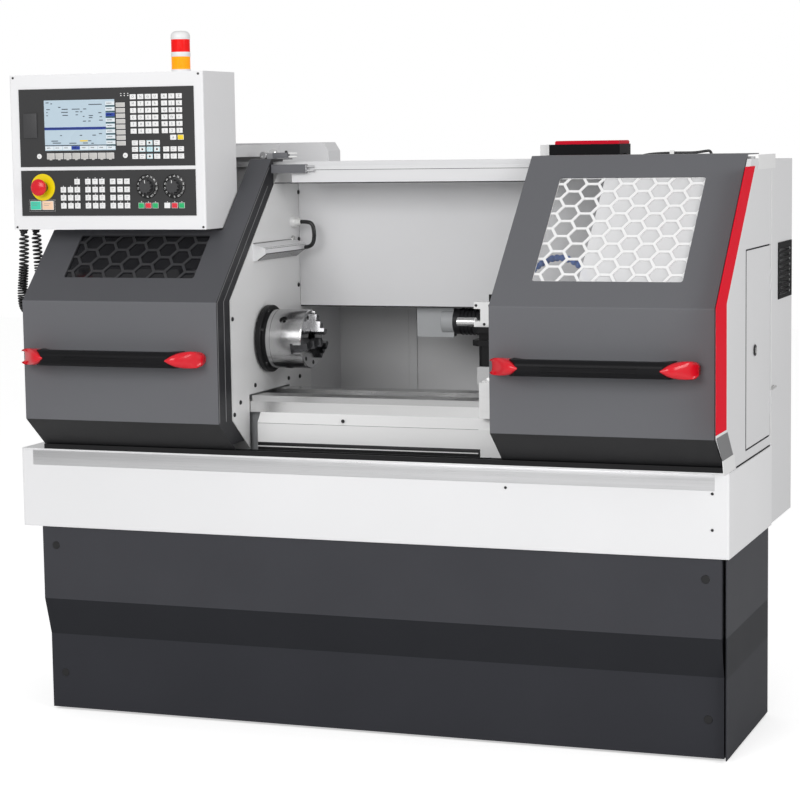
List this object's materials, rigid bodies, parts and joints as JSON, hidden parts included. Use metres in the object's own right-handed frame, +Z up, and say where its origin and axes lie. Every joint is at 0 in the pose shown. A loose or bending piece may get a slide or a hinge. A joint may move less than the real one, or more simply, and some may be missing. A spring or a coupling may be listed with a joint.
{
  "type": "cnc turning lathe",
  "caption": "Flat-bed turning lathe with a sheet steel enclosure, sliding doors, chuck, carriage, turret, tailstock and hanging control console.",
  "frame": {"origin": "on the floor, under the middle of the machine's length and depth", "axes": "+X runs from the chuck to the tailstock, +Y from the operator to the rear cabinet, +Z up"},
  "size_m": [2.2, 1.115, 2.077],
  "materials": {
    "white_enamel": "satin",
    "light_grey_enamel": "satin",
    "recess_enamel": "satin",
    "tray_enamel": "satin",
    "graphite_enamel": "satin",
    "anthracite_enamel": "textured",
    "guard_enamel": "satin",
    "console_enamel": "satin",
    "red_enamel": "gloss",
    "red_plastic": "gloss",
    "black_enamel": "satin",
    "black_plastic": "matte",
    "cable_jacket": "matte",
    "casting_paint": "painted",
    "ground_steel": "ground",
    "jaw_steel": "hardened",
    "saddle_enamel": "painted",
    "bright_steel": "polished",
    "motor_enamel": "satin",
    "lamp_aluminium": "satin",
    "panel_film": "matte",
    "screen_glass": "gloss",
    "amber_lens": "gloss",
    "red_lens": "gloss"
  },
  "bodies": {
    "machine": {"base_cabinet": "anthracite_enamel", "base_front_cover": "anthracite_enamel", "base_plugs": "black_plastic", "chip_tray": "tray_enamel", "door_track": "black_enamel", "bed_casting": "casting_paint", "way_guard": "white_enamel", "headstock_casting": "casting_paint", "left_housing": "white_enamel", "upper_back_panel": "light_grey_enamel", "recess_back_wall": "recess_enamel", "top_rail_beam": "light_grey_enamel", "right_housing": "white_enamel", "right_end_panel": "light_grey_enamel", "red_side_trim": "red_enamel", "rear_cabinet": "light_grey_enamel", "cabinet_louvre": "black_enamel", "console_arm": "console_enamel", "console_housing": "console_enamel", "display_panel": "panel_film", "display_screen": "screen_glass", "machine_panel": "panel_film", "signal_tower_body": "black_plastic", "tower_amber_lens": "amber_lens", "tower_red_lens": "red_lens", "curly_cord": "cable_jacket", "cable_glands": "black_plastic", "work_lamp": "lamp_aluminium", "lamp_cable": "cable_jacket", "top_unit": "black_enamel", "top_cable": "cable_jacket"},
    "spindle": {"spindle": "ground_steel", "chuck_backplate": "black_enamel", "chuck_body": "ground_steel"},
    "chuck_jaw_1": {"chuck_jaw_1": "jaw_steel"},
    "chuck_jaw_2": {"chuck_jaw_2": "jaw_steel"},
    "chuck_jaw_3": {"chuck_jaw_3": "jaw_steel"},
    "left_door": {"left_door": "graphite_enamel", "left_window_guard": "guard_enamel", "left_handle_bar": "black_plastic", "left_handle_ends": "red_plastic"},
    "right_door": {"right_door": "graphite_enamel", "right_window_guard": "guard_enamel", "right_handle_bar": "black_plastic", "right_handle_ends": "red_plastic"},
    "access_door": {"access_door": "light_grey_enamel"},
    "carriage": {"saddle": "saddle_enamel"},
    "cross_slide": {"cross_slide": "ground_steel", "turret_base": "black_enamel", "turret_motor": "motor_enamel"},
    "cover_plate_2": {"cover_plate_2": "ground_steel"},
    "cover_plate_3": {"cover_plate_3": "ground_steel"},
    "turret": {"turret_head": "black_enamel", "tool_holder": "bright_steel"},
    "tailstock": {"tailstock": "casting_paint"},
    "tailstock_quill": {"tailstock_quill": "ground_steel"},
    "tailstock_handwheel": {"tailstock_handwheel": "bright_steel"},
    "emergency_stop": {"emergency_stop": "red_plastic"},
    "spindle_dial": {"spindle_dial": "black_plastic"},
    "feed_dial": {"feed_dial": "black_plastic"}
  },
  "joints": [
    {"name": "spindle_turn", "type": "hinge", "parent": "machine", "child": "spindle", "pos_m": [-0.378, -0.1135, 1.15], "axis": [1, 0, 0], "continuous": true},
    {"name": "chuck_jaw_1_slide", "type": "slide", "parent": "spindle", "child": "chuck_jaw_1", "axis": [0, -0.9659, -0.2588], "range_m": [-0.012, 0.025]},
    {"name": "chuck_jaw_2_slide", "type": "slide", "parent": "spindle", "child": "chuck_jaw_2", "axis": [0, 0.2588, 0.9659], "range_m": [-0.012, 0.025]},
    {"name": "chuck_jaw_3_slide", "type": "slide", "parent": "spindle", "child": "chuck_jaw_3", "axis": [0, 0.7071, -0.7071], "range_m": [-0.012, 0.025]},
    {"name": "left_door_slide", "type": "slide", "parent": "machine", "child": "left_door", "axis": [1, 0, 0], "range_m": [0, 0.413]},
    {"name": "right_door_slide", "type": "slide", "parent": "machine", "child": "right_door", "axis": [-1, 0, 0], "range_m": [0, 0.413]},
    {"name": "access_door_hinge", "type": "hinge", "parent": "machine", "child": "access_door", "pos_m": [1.097, 0.215, 1.14], "axis": [0, 0, 1], "range_deg": [0, 110]},
    {"name": "carriage_slide", "type": "slide", "parent": "machine", "child": "carriage", "axis": [1, 0, 0], "range_m": [-0.36, 0.14]},
    {"name": "cross_slide_feed", "type": "slide", "parent": "carriage", "child": "cross_slide", "axis": [0, 1, 0], "range_m": [-0.06, 0.12]},
    {"name": "cover_plate_3_slide", "type": "slide", "parent": "carriage", "child": "cover_plate_3", "axis": [0, 1, 0], "range_m": [-0.04, 0.08]},
    {"name": "cover_plate_2_slide", "type": "slide", "parent": "carriage", "child": "cover_plate_2", "axis": [0, 1, 0], "range_m": [-0.02, 0.04]},
    {"name": "turret_index", "type": "hinge", "parent": "cross_slide", "child": "turret", "pos_m": [0.342, -0.0625, 1.138], "axis": [0, 0, 1], "continuous": true},
    {"name": "tailstock_slide", "type": "slide", "parent": "machine", "child": "tailstock", "axis": [1, 0, 0], "range_m": [-0.14, 0]},
    {"name": "handwheel_turn", "type": "hinge", "parent": "tailstock", "child": "tailstock_handwheel", "pos_m": [0.95, -0.1135, 1.15], "axis": [-1, 0, 0], "range_deg": [0, 5760]},
    {"name": "quill_slide", "type": "slide", "parent": "tailstock", "child": "tailstock_quill", "axis": [-1, 0, 0], "range_m": [0, 0.0801]},
    {"name": "emergency_stop_press", "type": "slide", "parent": "machine", "child": "emergency_stop", "axis": [0, 1, 0], "range_m": [0, 0.005], "stiffness_N_per_m": 1500},
    {"name": "spindle_dial_turn", "type": "hinge", "parent": "machine", "child": "spindle_dial", "pos_m": [-0.646, -0.3685, 1.619], "axis": [0, 1, 0], "range_deg": [-150, 150]},
    {"name": "feed_dial_turn", "type": "hinge", "parent": "machine", "child": "feed_dial", "pos_m": [-0.558, -0.3685, 1.619], "axis": [0, 1, 0], "range_deg": [-150, 150]}
  ],
  "couplings": [
    {"joint": "chuck_jaw_2_slide", "follows": "chuck_jaw_1_slide", "ratio": 1},
    {"joint": "chuck_jaw_3_slide", "follows": "chuck_jaw_1_slide", "ratio": 1},
    {"joint": "cover_plate_3_slide", "follows": "cross_slide_feed", "ratio": 0.66667},
    {"joint": "cover_plate_2_slide", "follows": "cross_slide_feed", "ratio": 0.33333},
    {"joint": "quill_slide", "follows": "handwheel_turn", "m_per_rad": 0.00079577}
  ]
}
